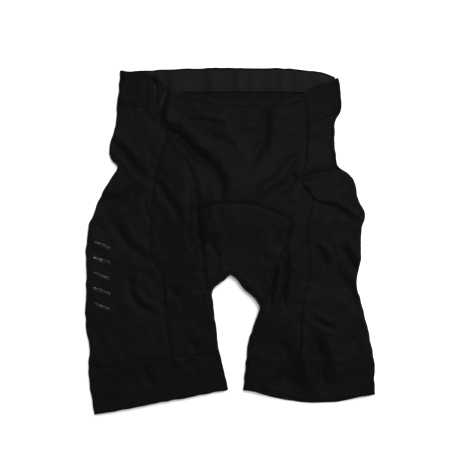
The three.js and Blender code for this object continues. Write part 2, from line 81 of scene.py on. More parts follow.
def steps(count, start=0.0, end=1.0):
    return [mix(start, end, i / count) for i in range(count + 1)]


# a smooth value through (height, value) pairs that run from the top down
def valueAt(pairs, height):
    last = len(pairs) - 1
    if height >= pairs[0][0]:
        return pairs[0][1]
    if height <= pairs[last][0]:
        return pairs[last][1]
    i = 0
    while height < pairs[i + 1][0]:
        i += 1

    def slope(a, b):
        return (pairs[b][1] - pairs[a][1]) / (pairs[b][0] - pairs[a][0])
    startSlope = slope(max(i - 1, 0), i + 1)
    endSlope = slope(i, min(i + 2, last))
    span = pairs[i + 1][0] - pairs[i][0]
    t = (height - pairs[i][0]) / span
    rest = 1 - t
    return ((1 + 2 * t) * rest * rest * pairs[i][1] + t * rest * rest * span * startSlope
            + t * t * (3 - 2 * t) * pairs[i + 1][1] - t * t * rest * span * endSlope)


# a point and a direction on a smooth line through points, at a share of its length in steps
def linePoint(points, at):
    place = min(max(at, 0.0), 1.0) * (len(points) - 1)
    i = min(int(place), len(points) - 2)
    t = place - i
    p0 = points[i - 1] if i > 0 else points[i]
    p1, p2 = points[i], points[i + 1]
    p3 = points[i + 2] if i + 2 < len(points) else points[i + 1]

    def spline(a, b, c, d):
        v0, v1 = (c - a) * 0.5, (d - b) * 0.5
        place = (2 * b - 2 * c + v0 + v1) * t ** 3 + (-3 * b + 3 * c - 2 * v0 - v1) * t * t + v0 * t + b
        speed = 3 * (2 * b - 2 * c + v0 + v1) * t * t + 2 * (-3 * b + 3 * c - 2 * v0 - v1) * t + v0
        return place, speed
    (x, dx), (y, dy) = spline(p0[0], p1[0], p2[0], p3[0]), spline(p0[1], p1[1], p2[1], p3[1])
    size = math.hypot(dx, dy)
    return (x, y), (dx / size, dy / size)


# the outline
inseam = garment["inseam"]
innerLine = [(-5, -inseam), (-17, -0.66 * inseam), (-22, -0.39 * inseam), (-24.5, -22), (-11, -8.5), (-1, -1),
             (15, -19), (34, -41), (28, -63), (19.5, -0.62 * inseam), (14, -inseam)]
forkRight, forkLeft = 0.3, 0.7

sideRise = garment["sideRise"]
foldRight = [(270, 147), (240, 148), (222, 151), (201, 152), (188, 155), (162, 161), (149, 158), (141, 150),
             (130, 156), (110, 168), (84, 180), (66, 187), (38, 191), (6, 191), (-20, 192), (-72, 191),
             (-98, 187), (-124, 188), (-150, 186), (-180, 181)]
foldLeft = [(262, 138), (253, 139), (227, 142), (213, 142), (203, 136), (190, 134), (150, 136), (140, 139),
            (133, 150), (123, 158), (97, 165), (78, 173), (58, 169), (19, 168), (-7, 162), (-20, 163),
            (-46, 171), (-85, 180), (-111, 185), (-160, 186)]
waistFrontRight = [(143, 265), (112, 262), (98, 256), (84, 242), (50, 234), (23, 229.5), (0, 227.5)]
waistFrontLeft = [(139, 257), (127, 251), (106, 244), (90, 234), (68, 228), (52, 226.5), (15, 226.5),
                  (0, 227.5)]
frontSeamRight = [(234, 84), (211, 87), (179, 86), (162, 90), (136, 98), (97, 104), (71, 106), (38, 106),
                  (19, 102), (3, 93), (-13, 89), (-46, 88), (-72, 84), (-100, 79)]
frontSeamLeft = [(239, 90), (207, 97), (159, 97), (118, 92), (98, 105), (77, 102), (58, 98), (29, 100),
                 (3, 101), (-33, 93), (-58, 90), (-100, 87)]
backSeamHalf = [(250, 104), (160, 112), (60, 124), (-10, 118), (-100, 108)]


def makeSide(**shape):
    shape["hemY"] = -garment["sideDrop"] + shape["sign"] * garment["hemTilt"]
    shape["waistReach"] = valueAt(shape["fold"], shape["waistY"])
    return shape


right = makeSide(name="right", sign=-1, waistY=sideRise + garment["waistTilt"], fold=foldRight,
                 waistFront=waistFrontRight, backRound=2.4, corner=(46, 87), forkAt=forkRight, hemAt=0,
                 hemSag=0, frontSeam=frontSeamRight)
left = makeSide(name="left", sign=1, waistY=sideRise - garment["waistTilt"], fold=foldLeft,
                waistFront=waistFrontLeft, backRound=5, corner=(79, 69), forkAt=forkLeft, hemAt=1,
                hemSag=garment["hemSag"], frontSeam=frontSeamLeft)
sides = [right, left]


def frontTop(side, reach):
    return valueAt(side["waistFront"], reach)


def backTop(side, reach):
    share = 1 - min(1, reach / side["waistReach"]) ** side["backRound"]
    return mix(side["waistY"], garment["backRise"], share)


def gussetArch(side, reach):
    share = min(1.0, max(0.0, reach / side["corner"][0]))
    return mix(garment["gussetTop"], side["corner"][1], share * share)


def innerFold(at, radius):
    edge, tangent = linePoint(innerLine, at)
    outward = (tangent[1], -tangent[0])
    centre = (edge[0] - outward[0] * radius, edge[1] - outward[1] * radius)
    return {"outward": outward, "radius": radius, "centre": centre}


def legFold(side, share):
    radius = mix(garment["crotchRound"], garment["edgeRound"], smooth(1.4 * share))
    if share <= 0:
        return innerFold(side["forkAt"], radius)
    wanted = mix(linePoint(innerLine, side["forkAt"])[0][1], -inseam, share)
    near, far = side["forkAt"], side["hemAt"]
    for _ in range(garment["searchRounds"]):
        middle = (near + far) / 2
        if linePoint(innerLine, middle)[0][1] > wanted:
            near = middle
        else:
            far = middle
    return innerFold((near + far) / 2, radius)


# rows across one half of the garment
edgeRound = garment["edgeRound"]


def makeRow(side, outerY, frontY, backY, inner, innerHeight, fold=None):
    return {"side": side, "outerY": outerY, "frontY": frontY, "backY": backY, "inner": inner,
            "innerHeight": innerHeight, "fold": fold, "rim": valueAt(side["fold"], outerY) - edgeRound}


def waistRow(side, drop):
    return makeRow(side, side["waistY"] - drop, lambda reach: frontTop(side, reach) - drop,
                   lambda reach: backTop(side, reach) - drop, side["corner"][0], garment["loft"])


def bodyRow(side, share):
    drop = garment["waistbandDepth"]

    def frontY(reach):
        return mix(frontTop(side, reach) - drop, gussetArch(side, reach), share)

    def backY(reach):
        return mix(backTop(side, reach) - drop, gussetArch(side, reach), share)
    height = mix(garment["loft"], garment["padHeight"], smooth(share * 1.15))
    return makeRow(side, mix(side["waistY"] - drop, side["corner"][1], share), frontY, backY,
                   side["corner"][0], height)


def gussetRow(side, share):
    fork = legFold(side, 0)
    y = mix(side["corner"][1], fork["centre"][1], share)
    inner = mix(side["corner"][0], side["sign"] * fork["centre"][0], share)
    height = mix(garment["padHeight"], 2 * garment["crotchRound"], smooth(share))
    return makeRow(side, y, lambda reach: y, lambda reach: y, inner, height)


def legRow(side, share):
    fold = legFold(side, share)
    inner = side["sign"] * fold["centre"][0]
    outerY = mix(legFold(side, 0)["centre"][1], side["hemY"], share)
    rim = valueAt(side["fold"], outerY) - edgeRound

    def bow(reach):
        across = (reach - inner) / (rim - inner)
        return share * 4 * across * (1 - across)

    def backY(reach):
        return mix(fold["centre"][1], outerY, (reach - inner) / (rim - inner)) - side["hemSag"] * bow(reach)

    def frontY(reach):
        return backY(reach) + garment["hemOpening"] * side["hemSag"] * bow(reach) * share
    return makeRow(side, outerY, frontY, backY, inner, 2 * fold["radius"], fold)


def topHeight(row, reach):
    ramp = garment["loftRamp"]
    outer = mix(2 * edgeRound, garment["loft"], smooth((row["rim"] - reach) / ramp))
    return mix(row["innerHeight"], outer, smooth((reach - row["inner"]) / ramp))


def seamReach(row, table, face):
    rowY = row["frontY"] if face == "front" else row["backY"]
    reach = valueAt(table, row["outerY"])
    for _ in range(garment["settleRounds"]):
        reach = mix(reach, valueAt(table, rowY(reach)), 0.7)
    return reach


# the whole garment as one welded net
net = {"points": [], "known": {}, "faces": [], "lift": []}
panelNames = ["frontPanel", "gusset", "sideRight", "sideLeft", "backRight", "backLeft", "waistbandCloth",
              "binding", "legBandRight", "legBandLeft"]
counts = {"side": 24, "middle": 18, "inner": 14, "band": 12, "body": 40, "gusset": 30, "leg": 50, "rim": 8,
          "bindingRows": 3, "back": 8}


def netPoint(point, lift):
    key = tuple(round(value, 3) + 0.0 for value in point)
    if key not in net["known"]:
        net["known"][key] = len(net["points"])
        net["points"].append(point)
        net["lift"].append(lift)
    return net["known"][key]


# rows of (point, lift) with one panel name for each cell, worked out by nameOf(row, column)
def netPatch(side, rows, nameOf, isFront):
    index = [[netPoint(*cell) for cell in row] for row in rows]
    for r in range(len(rows) - 1):
        for c in range(len(rows[r]) - 1):
            quad = [index[r][c], index[r + 1][c], index[r + 1][c + 1], index[r][c + 1]]
            if len(set(quad)) < 4:
                continue
            if (side["sign"] < 0) != isFront:
                quad.reverse()
            net["faces"].append((quad, panelNames.index(nameOf(r, c)), isFront))
    return index


def frontPoint(row, reach):
    point = (row["side"]["sign"] * reach, row["frontY"](reach), topHeight(row, reach))
    return point, 1.0


def backPoint(row, reach):
    return (row["side"]["sign"] * reach, row["backY"](reach), 0.0), 0.0


def roundEdge(radius, placeAt):
    cells = []
    for angle in steps(counts["rim"], math.pi / 2, -math.pi / 2):
        x, y = placeAt(radius * math.cos(angle))
        cells.append(((x, y, radius * (1 + math.sin(angle))), max(0.0, math.sin(angle)) ** 1.5))
    return cells


def sideRim(row):
    return roundEdge(edgeRound, lambda out: (row["side"]["sign"] * (row["rim"] + out), row["outerY"]))


def foldRim(fold):
    (x, y), (dx, dy) = fold["centre"], fold["outward"]
    return roundEdge(fold["radius"], lambda out: (x + dx * out, y + dy * out))


def allRows(side):
    binding, depth = garment["bindingDepth"], garment["waistbandDepth"]
    drops = steps(counts["bindingRows"], 0, binding) + steps(counts["band"], binding, depth)[1:-1]
    band = [waistRow(side, drop) for drop in drops]
    body = [bodyRow(side, share) for share in steps(counts["body"])]
    beside = [gussetRow(side, share) for share in steps(counts["gusset"])][1:-1]
    bandAt = 1 - garment["legBandShare"]
    upper = round(counts["leg"] * bandAt)
    shares = steps(upper, 0, bandAt) + steps(counts["leg"] - upper, bandAt, 1)[1:]
    legs = [legRow(side, share) for share in shares]
    return band, body, beside, legs, upper


seamLines = {}  # point numbers along each seam, in order


def buildSide(side):
    band, body, beside, legs, upper = allRows(side)
    rows = band + body + beside + legs
    bandEnd, bodyEnd, legStart = len(band), len(band) + len(body) - 1, len(band) + len(body) + len(beside)
    bandFoot = legStart + upper
    sideName = "side" + side["name"].capitalize()
    backName = "back" + side["name"].capitalize()
    legName = "legBand" + side["name"].capitalize()

    def namer(topRows, topName, bodyName):
        return lambda r, c: topName if r < topRows else legName if r >= bandFoot else bodyName

    def across(pointOf, count, starts, ends, nameOf):
        cells = [[pointOf(row, reach) for reach in steps(count, start, end)]
                 for row, start, end in zip(rows, starts, ends)]
        return netPatch(side, cells, nameOf, pointOf is frontPoint)

    outerName = namer(bandEnd, "waistbandCloth", sideName)
    frontName = namer(counts["bindingRows"], "binding", "frontPanel")
    backRowName = namer(bandEnd, "waistbandCloth", backName)
    rims, inners = [row["rim"] for row in rows], [row["inner"] for row in rows]
    above = inners[:bodyEnd + 1]
    middleLine = [0] * len(above)
    seams = [seamReach(row, side["frontSeam"], "front") for row in rows]
    outer = across(frontPoint, counts["side"], rims, seams, outerName)
    middle = across(frontPoint, counts["middle"], seams, inners, frontName)
    centre = across(frontPoint, counts["inner"], above, middleLine, frontName)
    rim = netPatch(side, [sideRim(row)[::-1] for row in rows], outerName, True)
    inner = netPatch(side, [foldRim(row["fold"]) for row in legs],
                     lambda r, c: legName if r >= upper else "frontPanel", True)
    backSeams = [seamReach(row, backSeamHalf, "back") for row in rows]
    backOuter = across(backPoint, counts["back"], rims, backSeams, outerName)
    backMiddle = across(backPoint, counts["back"], backSeams, inners, backRowName)
    backInner = across(backPoint, counts["inner"], above, middleLine, backRowName)
    name = side["name"]
    seamLines["frontSeam_" + name] = [line[-1] for line in outer[counts["bindingRows"]:bandFoot + 1]]
    seamLines["backSeam_" + name] = [line[-1] for line in backOuter[bandEnd:bandFoot + 1]]
    seamLines["inseam_" + name] = [line[counts["rim"] - 1] for line in inner[:upper + 1]]
    seamLines["gussetSide_" + name] = [line[-1] for line in middle[bodyEnd:legStart + 1]]
    seamLines["waist_" + name] = (outer[bandEnd][::-1] + rim[bandEnd][::-1][1:] + backOuter[bandEnd][1:]
                                  + backMiddle[bandEnd][1:] + backInner[bandEnd][1:])
    seamLines["centreBack"] = [line[-1] for line in backInner[bandEnd:]]
    seamLines["waistEdge_" + name] = outer[0] + middle[0] + centre[0]
    seamLines["legBand_" + name] = (outer[bandFoot] + middle[bandFoot][1:] + inner[upper][1:]
                                    + backMiddle[bandFoot][::-1][1:] + backOuter[bandFoot][::-1][1:]
                                    + rim[bandFoot][1:-1])


def buildGusset():
    strips = []
    half = counts["inner"]
    for j in range(2 * half + 1):
        side = right if j < half else left
        reach = side["corner"][0] * abs(j - half) / half
        top = (side["sign"] * reach, gussetArch(side, reach))
        fold = innerFold(mix(forkRight, forkLeft, j / (2 * half)), garment["crotchRound"])
        strips.append((top, fold))

    def cells(share, isFront):
        row = []
        for top, fold in strips:
            x, y = mix(top[0], fold["centre"][0], share), mix(top[1], fold["centre"][1], share)
            height = mix(garment["padHeight"], 2 * garment["crotchRound"], smooth(share))
            row.append(((x, y, height if isFront else 0.0), 1.0 if isFront else 0.0))
        return row
    front = netPatch(left, [list(reversed(cells(share, True))) for share in steps(counts["gusset"])],
                     lambda r, c: "gusset", True)
    rims = [foldRim(fold) for _, fold in strips]
    netPatch(left, [[rim[k] for rim in reversed(rims)] for k in range(counts["rim"] + 1)],
             lambda r, c: "gusset", True)
    backRows = [list(reversed(cells(share, False))) for share in steps(counts["gusset"])]
    backSplit = round(counts["gusset"] * garment["gussetSplit"])

    def backName(r, c):
        if r >= backSplit:
            return "gusset"
        return "backLeft" if c < half else "backRight"
    netPatch(left, backRows, backName, False)
    seamLines["gussetArch"] = front[0]


for side in sides:
    buildSide(side)
buildGusset()
points = np.array(net["points"])
lift = np.array(net["lift"])
print("net:", len(points), "points,", len(net["faces"]), "faces")


# folds: width, height, bank and the points it runs through, in millimetres
# a minus height is a valley; a bank is a ridge on its left side (minus: on its right)
folds = [
    # front of the body
    (9, -4.2, 0.7, [(-101, 198), (-71, 182), (-45, 159), (-25, 140), (-16, 116), (-14, 98)]),
    (5, -2.6, 0.6, [(-86, 246), (-92, 214), (-96, 196)]),
    (4, -1.8, -0.6, [(-101, 253), (-98, 211)]),
    (8, -3.0, 0.5, [(49, 220), (41, 194), (38, 168), (28, 146)]),
    (7, 3.2, 0, [(88, 157), (57, 128), (27, 102)]),
    (7, -2.8, 0, [(85, 130), (67, 115), (55, 104)]),
    (3.5, -1.6, 0.8, [(-60, 202), (-36, 201), (-12, 197)]),
    (9, 1.6, 0, [(-30, 192), (0, 176), (16, 158)]),
    (7, -2.4, 0.5, [(-58, 140), (-50, 118), (-48, 96)]),
    (14, -3.4, 0, [(-38, 152), (-33, 118), (-42, 92), (-45, 58), (-38, 28)]),
    # beside the pad
    (6, -3.2, 0, [(76, 60), (64, 46), (56, 34)]),
    (4, -2.4, 0.5, [(46, 26), (41, 9), (34, -7)]),
    (5, -3.0, 0.8, [(54, 22), (52, -14), (45, -41)]),
    (6, -4.0, 0.6, [(71, 30), (68, -14), (64, -42)]),
    (8, -4.0, -0.4, [(-49, 97), (-50, 61), (-47, 26)]),
    (6, -3.0, 0, [(-42, 58), (-40, 38)]),
    (4, -2.2, 0.4, [(-32, 45), (-19, 19)]),
    # right side of the garment
    (6, -3.0, 0.6, [(-98, 120), (-81, 97), (-68, 71)]),
    (3.5, -1.8, 0.5, [(-115, 97), (-111, 71)]),
    (6, -3.0, 0.6, [(-158, 176), (-142, 159), (-116, 127)]),
    (7, -2.8, 0.5, [(-166, 94), (-142, 101), (-123, 114)]),
    (9, -2.6, 0.6, [(-153, 71), (-136, 38), (-107, 19)]),
    (6, -3.0, 0.6, [(-136, 0), (-131, -29), (-120, -41), (-102, -52)]),
    (4, -2.0, 0.5, [(-71, -10), (-49, 11)]),
    (6, -3.2, 0, [(-80, -16), (-76, -28)]),
    (6, -2.2, 0, [(-54, -84), (-46, -100)]),
    (4, -1.2, 0.7, [(-112, -112), (-106, -150)]),
    # left side of the garment
    (7, -3.0, -0.4, [(86, 122), (111, 130), (133, 136)]),
    (3, -2.2, -0.7, [(88, 112), (98, 106), (109, 101)]),
    (2.3, 3.0, 0, [(94, 111), (109, 98), (138, 91), (166, 73)]),
    (6, -1.2, 0, [(96, 103), (112, 92), (138, 84), (160, 70)]),
    (6, -2.8, 0.6, [(105, 40), (123, 10)]),
    (7, -3.4, 0.5, [(146, 36), (161, 0)]),
    (9, -2.4, 0.5, [(137, 3), (159, -42)]),
    (5, -2.4, 0.7, [(105, -55), (133, -72)]),
    (15, -5.4, 0, [(69, -80), (70, -118), (76, -152)]),
    (12, -5.4, 0, [(106, -78), (114, -111), (122, -148)]),
    (5, 2.0, 0, [(94, -78), (93, -112), (96, -146)]),
]
foldDepth = {"height": 1.7, "width": 0.85, "bank": 0.45}


def foldHeights(spots):
    total = np.zeros(len(spots))
    for foldWidth, foldHeight, bank, foldLine in folds:
        line = np.array(foldLine, float)
        nearest = np.full(len(spots), 1e9)
        along, sideOf = np.zeros(len(spots)), np.zeros(len(spots))
        lengths = np.hypot(*(line[1:] - line[:-1]).T)
        whole, done = lengths.sum(), 0.0
        for start, end, length in zip(line[:-1], line[1:], lengths):
            run = (end - start) / length
            t = np.clip((spots - start) @ run / length, 0, 1)
            off = spots - start - t[:, None] * (end - start)
            gap = np.hypot(*off.T)
            closer = gap < nearest
            nearest = np.where(closer, gap, nearest)
            along = np.where(closer, (done + t * length) / whole, along)
            sideOf = np.where(closer, np.sign(run[0] * off[:, 1] - run[1] * off[:, 0]), sideOf)
            done += length
        fade = np.clip(np.minimum(along, 1 - along) * 4 + 0.3, 0, 1)
        signed = nearest * sideOf * (1 if bank >= 0 else -1)
        width = foldWidth * foldDepth["width"]
        shape = np.exp(-(nearest / width) ** 2)
        shape -= foldDepth["bank"] * abs(bank) * np.exp(-((signed - 1.8 * width) / width) ** 2)
        total += foldDepth["height"] * foldHeight * fade * shape
    return total


# soft uneven swells; turn and stretch draw them out along one direction
def swell(spots, size, seed, turn=0.0, stretch=1.0):
    c, s = math.cos(math.radians(turn)), math.sin(math.radians(turn))
    along, across = spots @ np.array([c, s]), spots @ np.array([-s, c])
    return np.array([noise.noise(Vector((a / (size * stretch), b / size, seed)))
                     for a, b in zip(along, across)])


flat = points[:, :2].copy()
stray = {"broad": 1.0, "fine": 1.3}  # how far the outline wanders
swells = {"warp": 5, "broad": 1.5, "drawn": 1.3, "middle": 1.0, "fine": 0.8,
          "hemHeight": -165, "hemFlat": 0.5}
points[:, 0] += stray["broad"] * swell(flat, 24, 4.4) + stray["fine"] * swell(flat, 9, 6.1)
points[:, 1] += stray["broad"] * swell(flat, 24, 14.4) + stray["fine"] * swell(flat, 9, 16.1)
warp = np.stack([swell(flat, 34, 3.1), swell(flat, 34, 7.7)], axis=1)
heights = foldHeights(flat + warp * swells["warp"])
towardLeft = 1 / (1 + np.exp(-flat[:, 0] / 25))
drawn = swell(flat, 13, 2.2, -52, 4) * (1 - towardLeft) + swell(flat, 13, 8.2, 48, 4) * towardLeft
heights += (swells["broad"] * swell(flat, 46, 1.3) + swells["drawn"] * drawn
            + swells["middle"] * swell(flat, 18, 5.2))
heights += swells["fine"] * swell(flat, 9, 7.5)
heights *= 1 - swells["hemFlat"] * np.exp(-((flat[:, 1] - swells["hemHeight"]) / 12) ** 2)
points[:, 2] += lift * heights
print("folds:", len(folds))


# cloth simulation of the upper layer
drape = {"frames": 26, "grow": 0.002, "gap": 2.6, "bend": 0.6, "stiff": 20, "mass": 0.012, "farthest": 6.0,
         "damping": 12, "bendDamping": 1.5, "air": 4, "quality": 7, "distance": 0.0008, "inside": 0.004,
         "friction": 12, "valleyDepth": 0.9}


def place(name, data):
    thing = bpy.data.objects.new(name, data)
    bpy.context.scene.collection.objects.link(thing)
    return thing


def meshFrom(name, vertices, faces, labels=None):
    mesh = bpy.data.meshes.new(name)
    mesh.from_pydata([tuple(v) for v in vertices], [], faces)
    if labels is not None:
        mesh.polygons.foreach_set("material_index", labels)
    mesh.update()
    return place(name, mesh)


def simulateFront():
    used = sorted({i for quad, _, isFront in net["faces"] if isFront for i in quad})
    number = {old: new for new, old in enumerate(used)}
    faces = [[number[i] for i in quad] for quad, _, isFront in net["faces"] if isFront]
    start = points[used]
    cloth = meshFrom("upperLayer", [toFrame(p) for p in start], faces)
    pins = cloth.vertex_groups.new(name="pins")
    edge = {number[i] for side in sides for i in seamLines["waistEdge_" + side["name"]]}
    free = [lift[old] == 1.0 and new not in edge for new, old in enumerate(used)]
    held = [new for new in range(len(used)) if not free[new]]
    pins.add(held, 1.0, "REPLACE")
    # what it lies on: the same surface a little lower, so the cloth settles between its own folds
    base = start.copy()
    folded = heights[used]
    base[:, 2] -= lift[used] * (folded + drape["gap"] - drape["valleyDepth"] * np.minimum(folded, 0))
    base[:, 2] = np.maximum(base[:, 2], 0.2)
    inside = [face for face in faces if all(lift[used[i]] == 1.0 for i in face)]
    support = meshFrom("support", [toFrame(p) for p in base], inside)
    support.modifiers.new("Collision", "COLLISION")
    support.collision.thickness_outer = drape["distance"]
    support.collision.thickness_inner = drape["inside"]
    support.collision.cloth_friction = drape["friction"]
    modifier = cloth.modifiers.new("Cloth", "CLOTH")
    fabric = modifier.settings
    fabric.quality = drape["quality"]
    fabric.mass = drape["mass"]
    fabric.tension_stiffness = fabric.compression_stiffness = drape["stiff"]
    fabric.shear_stiffness = drape["stiff"] / 3
    fabric.bending_stiffness = drape["bend"]
    fabric.tension_damping = fabric.compression_damping = fabric.shear_damping = drape["damping"]
    fabric.bending_damping = drape["bendDamping"]
    fabric.air_damping = drape["air"]
    fabric.shrink_min = fabric.shrink_max = -drape["grow"]
    fabric.vertex_group_mass = "pins"
    modifier.collision_settings.distance_min = drape["distance"]
    modifier.collision_settings.collision_quality = 3
    modifier.collision_settings.use_self_collision = False
    modifier.point_cache.frame_start, modifier.point_cache.frame_end = 1, drape["frames"]
    scene = bpy.context.scene
    for frameNumber in range(1, drape["frames"] + 1):
        scene.frame_set(frameNumber)
    graph = bpy.context.evaluated_depsgraph_get()
    settled = cloth.evaluated_get(graph).to_mesh()
    values = np.empty(len(settled.vertices) * 3)
    settled.vertices.foreach_get("co", values)
    values = (values.reshape(-1, 3) - np.array([middleX, crotchY, 0])) / mm
    moved = values - start
    far = np.linalg.norm(moved, axis=1)
    moved *= np.minimum(1.0, drape["farthest"] / np.maximum(far, 1e-6))[:, None]
    points[used] = start + moved
    print("simulated:", drape["frames"], "frames, furthest move", round(float(far.max()), 1), "mm")
    scene.frame_set(1)
    for piece in (cloth, support):
        bpy.data.objects.remove(piece, do_unlink=True)


simulateFront()
points[:, 2] = np.maximum(points[:, 2], garment["underside"] + garment["leastLift"] * lift)


# seams draw the cloth in; a line through points, evenly spaced, lightly smoothed
def evenLine(line, spacing, closed=False):
    path = np.array(line, float)
    if closed:
        path = np.vstack([path, path[:1]])
    for _ in range(2):
        inner = (path[:-2] + 2 * path[1:-1] + path[2:]) / 4
        path = np.vstack([path[:1], inner, path[-1:]])
    lengths = np.concatenate([[0], np.cumsum(np.linalg.norm(path[1:] - path[:-1], axis=1))])
    count = max(2, round(lengths[-1] / spacing))
    places = np.linspace(0, lengths[-1], count + 1)
    even = np.stack([np.interp(places, lengths, path[:, k]) for k in range(3)], axis=1)
    return even[:-1] if closed else even


def seamPath(*names):
    return [points[i] for name in names for i in seamLines[name]]


def joined(first, second):
    return first + second[::-1][1:]


waistPath = joined(seamPath("waist_right"), seamPath("waist_left"))
gussetPath = seamPath("gussetSide_right")[::-1] + seamPath("gussetArch")[::-1][1:]
gussetPath += seamPath("gussetSide_left")[1:]
seamPlan = {  # lines, closed, how far it draws the cloth in
    "frontSeamRight": (seamPath("frontSeam_right"), False, 0.8),
    "frontSeamLeft": (seamPath("frontSeam_left"), False, 0.8),
    "gussetSeam": (gussetPath, False, 1.5),
    "waistSeam": (waistPath, False, 0.4),
    "centreBackSeam": (seamPath("centreBack"), False, 0.8),
    "backSideSeamRight": (seamPath("backSeam_right"), False, 0.8),
    "backSideSeamLeft": (seamPath("backSeam_left"), False, 0.8),
    "inseamRight": (seamPath("inseam_right"), False, 0.8),
    "inseamLeft": (seamPath("inseam_left"), False, 0.8),
    "legBandSeamRight": (seamPath("legBand_right"), True, 0.5),
    "legBandSeamLeft": (seamPath("legBand_left"), True, 0.4),
}
pucker = {"sink": 0.9, "sinkWidth": 2.6, "height": 0.5, "reach": 9.0, "pitch": 8.5, "spacing": 1.5,
          "chunk": 40, "margin": 22}


def fineSurface():
    faces = [quad for quad, _, _ in net["faces"]]
    labels = [label for _, label, _ in net["faces"]]
    whole = meshFrom("whole", points, faces, labels)
    for _ in panelNames:
        whole.data.materials.append(None)
    rounder = whole.modifiers.new("Subdivision", "SUBSURF")
    rounder.levels = rounder.render_levels = 1
    rounder.boundary_smooth = "PRESERVE_CORNERS"
    mesh = bpy.data.meshes.new_from_object(whole.evaluated_get(bpy.context.evaluated_depsgraph_get()))
    bpy.data.objects.remove(whole, do_unlink=True)
    return mesh


fineMesh = fineSurface()
finePoints = np.empty(len(fineMesh.vertices) * 3)
fineMesh.vertices.foreach_get("co", finePoints)
finePoints = finePoints.reshape(-1, 3)
fineNormals = np.empty(len(finePoints) * 3)
fineMesh.vertex_normals.foreach_get("vector", fineNormals)
fineNormals = fineNormals.reshape(-1, 3)


def drawIn():
    spacing, chunk = pucker["spacing"], pucker["chunk"]
    for number, (path, closed, draw) in enumerate(seamPlan.values()):
        line = evenLine(path, spacing, closed)
        for start in range(0, len(line), chunk):
            part = line[start:start + chunk + 1]
            low, high = part.min(0) - pucker["margin"], part.max(0) + pucker["margin"]
            near = np.nonzero(((finePoints > low) & (finePoints < high)).all(1))[0]
            if not len(near):
                continue
            gaps = np.linalg.norm(finePoints[near][:, None] - part[None, :chunk], axis=2)
            nearest, gap = gaps.argmin(1), gaps.min(1)
            ends = (nearest + start) * spacing
            wave = np.array([noise.noise(Vector((at / pucker["pitch"], g / 30, number)))
                             for at, g in zip(ends, gap)])
            move = 1.8 * pucker["height"] * wave * np.exp(-(gap / pucker["reach"]) ** 2)
            move -= draw * pucker["sink"] * np.exp(-(gap / pucker["sinkWidth"]) ** 2)
            touched = nearest + start < start + chunk
            finePoints[near[touched]] += fineNormals[near[touched]] * move[touched, None]


drawIn()
finePoints[:, 2] = np.maximum(finePoints[:, 2], garment["underside"])
fineMesh.vertices.foreach_set("co", finePoints.ravel())
fineMesh.update()
fineFaces = [tuple(face.vertices) for face in fineMesh.polygons]
surface = BVHTree.FromPolygons([Vector(p) for p in finePoints], fineFaces)
print("fine surface:", len(finePoints), "points")


# the nearest place on the cloth, raised by an offset (minus: inside the garment)
def onCloth(point, offset):
    place, normal, _, _ = surface.find_nearest(Vector(point))
    raised = place + normal * offset
    raised.z = max(raised.z, 0.05)
    return raised


def clothNormal(point):
    return surface.find_nearest(Vector(point))[1]


# making pieces
def addPiece(name, vertices, faces, node, materials, labels=None):
    piece = meshFrom(name, [toFrame(v) for v in vertices], faces)
    for material in materials:
        piece.data.materials.append(material)
    if labels is not None:
        piece.data.polygons.foreach_set("material_index", labels)
    return finishPiece(piece, node)


def finishPiece(piece, node):
    piece.data.polygons.foreach_set("use_smooth", [True] * len(piece.data.polygons))
    piece.data.update()
    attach(piece, "root")
    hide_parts(node)
    return piece


def closedTube(rings, closed):
    count, size = len(rings), len(rings[0])
    vertices = [v for ring in rings for v in ring]
    faces = []
    for i in range(count if closed else count - 1):
        j = (i + 1) % count
        for k in range(size):
            m = (k + 1) % size
            faces.append((i * size + k, j * size + k, j * size + m, i * size + m))
    if not closed:
        faces.append(tuple(range(size)))
        faces.append(tuple(range((count - 1) * size, count * size))[::-1])
    return vertices, faces


seamLook = {"half": 1.2, "rise": 0.26, "pitch": 1.15, "stitchPitch": 2.3, "stitchLength": 1.8,
            "stitchRound": 0.16, "slant": 0.55, "buried": 0.25, "stitchRise": 0.06, "stitchSink": 0.12}


def sideways(line, closed):
    ahead = np.roll(line, -1, axis=0) - np.roll(line, 1, axis=0)
    if not closed:
        ahead[0], ahead[-1] = line[1] - line[0], line[-1] - line[-2]
    out = []
    for point, run in zip(line, ahead):
        normal = clothNormal(point)
        across = normal.cross(Vector(run)).normalized()
        out.append((Vector(point), Vector(run).normalized(), across))
    return out


# a sewn seam: a low double ridge of cloth with a row of slanting stitches along each edge
def makeSeam(name, node, path, closed, cloth, thread):
    half, rise = seamLook["half"], seamLook["rise"]
    buried, sink = seamLook["buried"], seamLook["stitchSink"]
    profile = [(-half, -buried), (-half * 0.86, rise * 0.75), (-half * 0.45, rise), (0, rise * 0.55),
               (half * 0.45, rise), (half * 0.86, rise * 0.75), (half, -buried), (0, -0.3)]
    frames = sideways(evenLine(path, seamLook["pitch"], closed), closed)
    rings = [[onCloth(point + across * u, h) for u, h in profile] for point, _, across in frames]
    vertices, faces = closedTube(rings, closed)
    labels = [0] * len(faces)
    stitchFrames = sideways(evenLine(path, seamLook["stitchPitch"], closed), closed)
    length, thick = seamLook["stitchLength"] / 2, seamLook["stitchRound"]
    for point, run, across in stitchFrames[1:-1]:
        for side in (-1, 1):
            middle = onCloth(point + across * (side * half * 0.5), rise + seamLook["stitchRise"])
            slant = (run + across * (seamLook["slant"] * side)).normalized()
            up = clothNormal(point)
            cross = slant.cross(up).normalized()
            first = len(vertices)
            vertices += [middle - slant * length - up * sink, middle + cross * thick, middle + up * thick,
                         middle - cross * thick, middle - up * thick, middle + slant * length - up * sink]
            for a, b in ((1, 2), (2, 3), (3, 4), (4, 1)):
                faces += [(first, first + b, first + a), (first + 5, first + a, first + b)]
            labels += [1] * 8
    return addPiece(name, vertices, faces, node, [cloth, thread], labels)


# a ribbed strip that lies inside the garment, all the way round
crinkle = {"middle": 1.2, "height": 1.8, "around": 13, "across": 60}


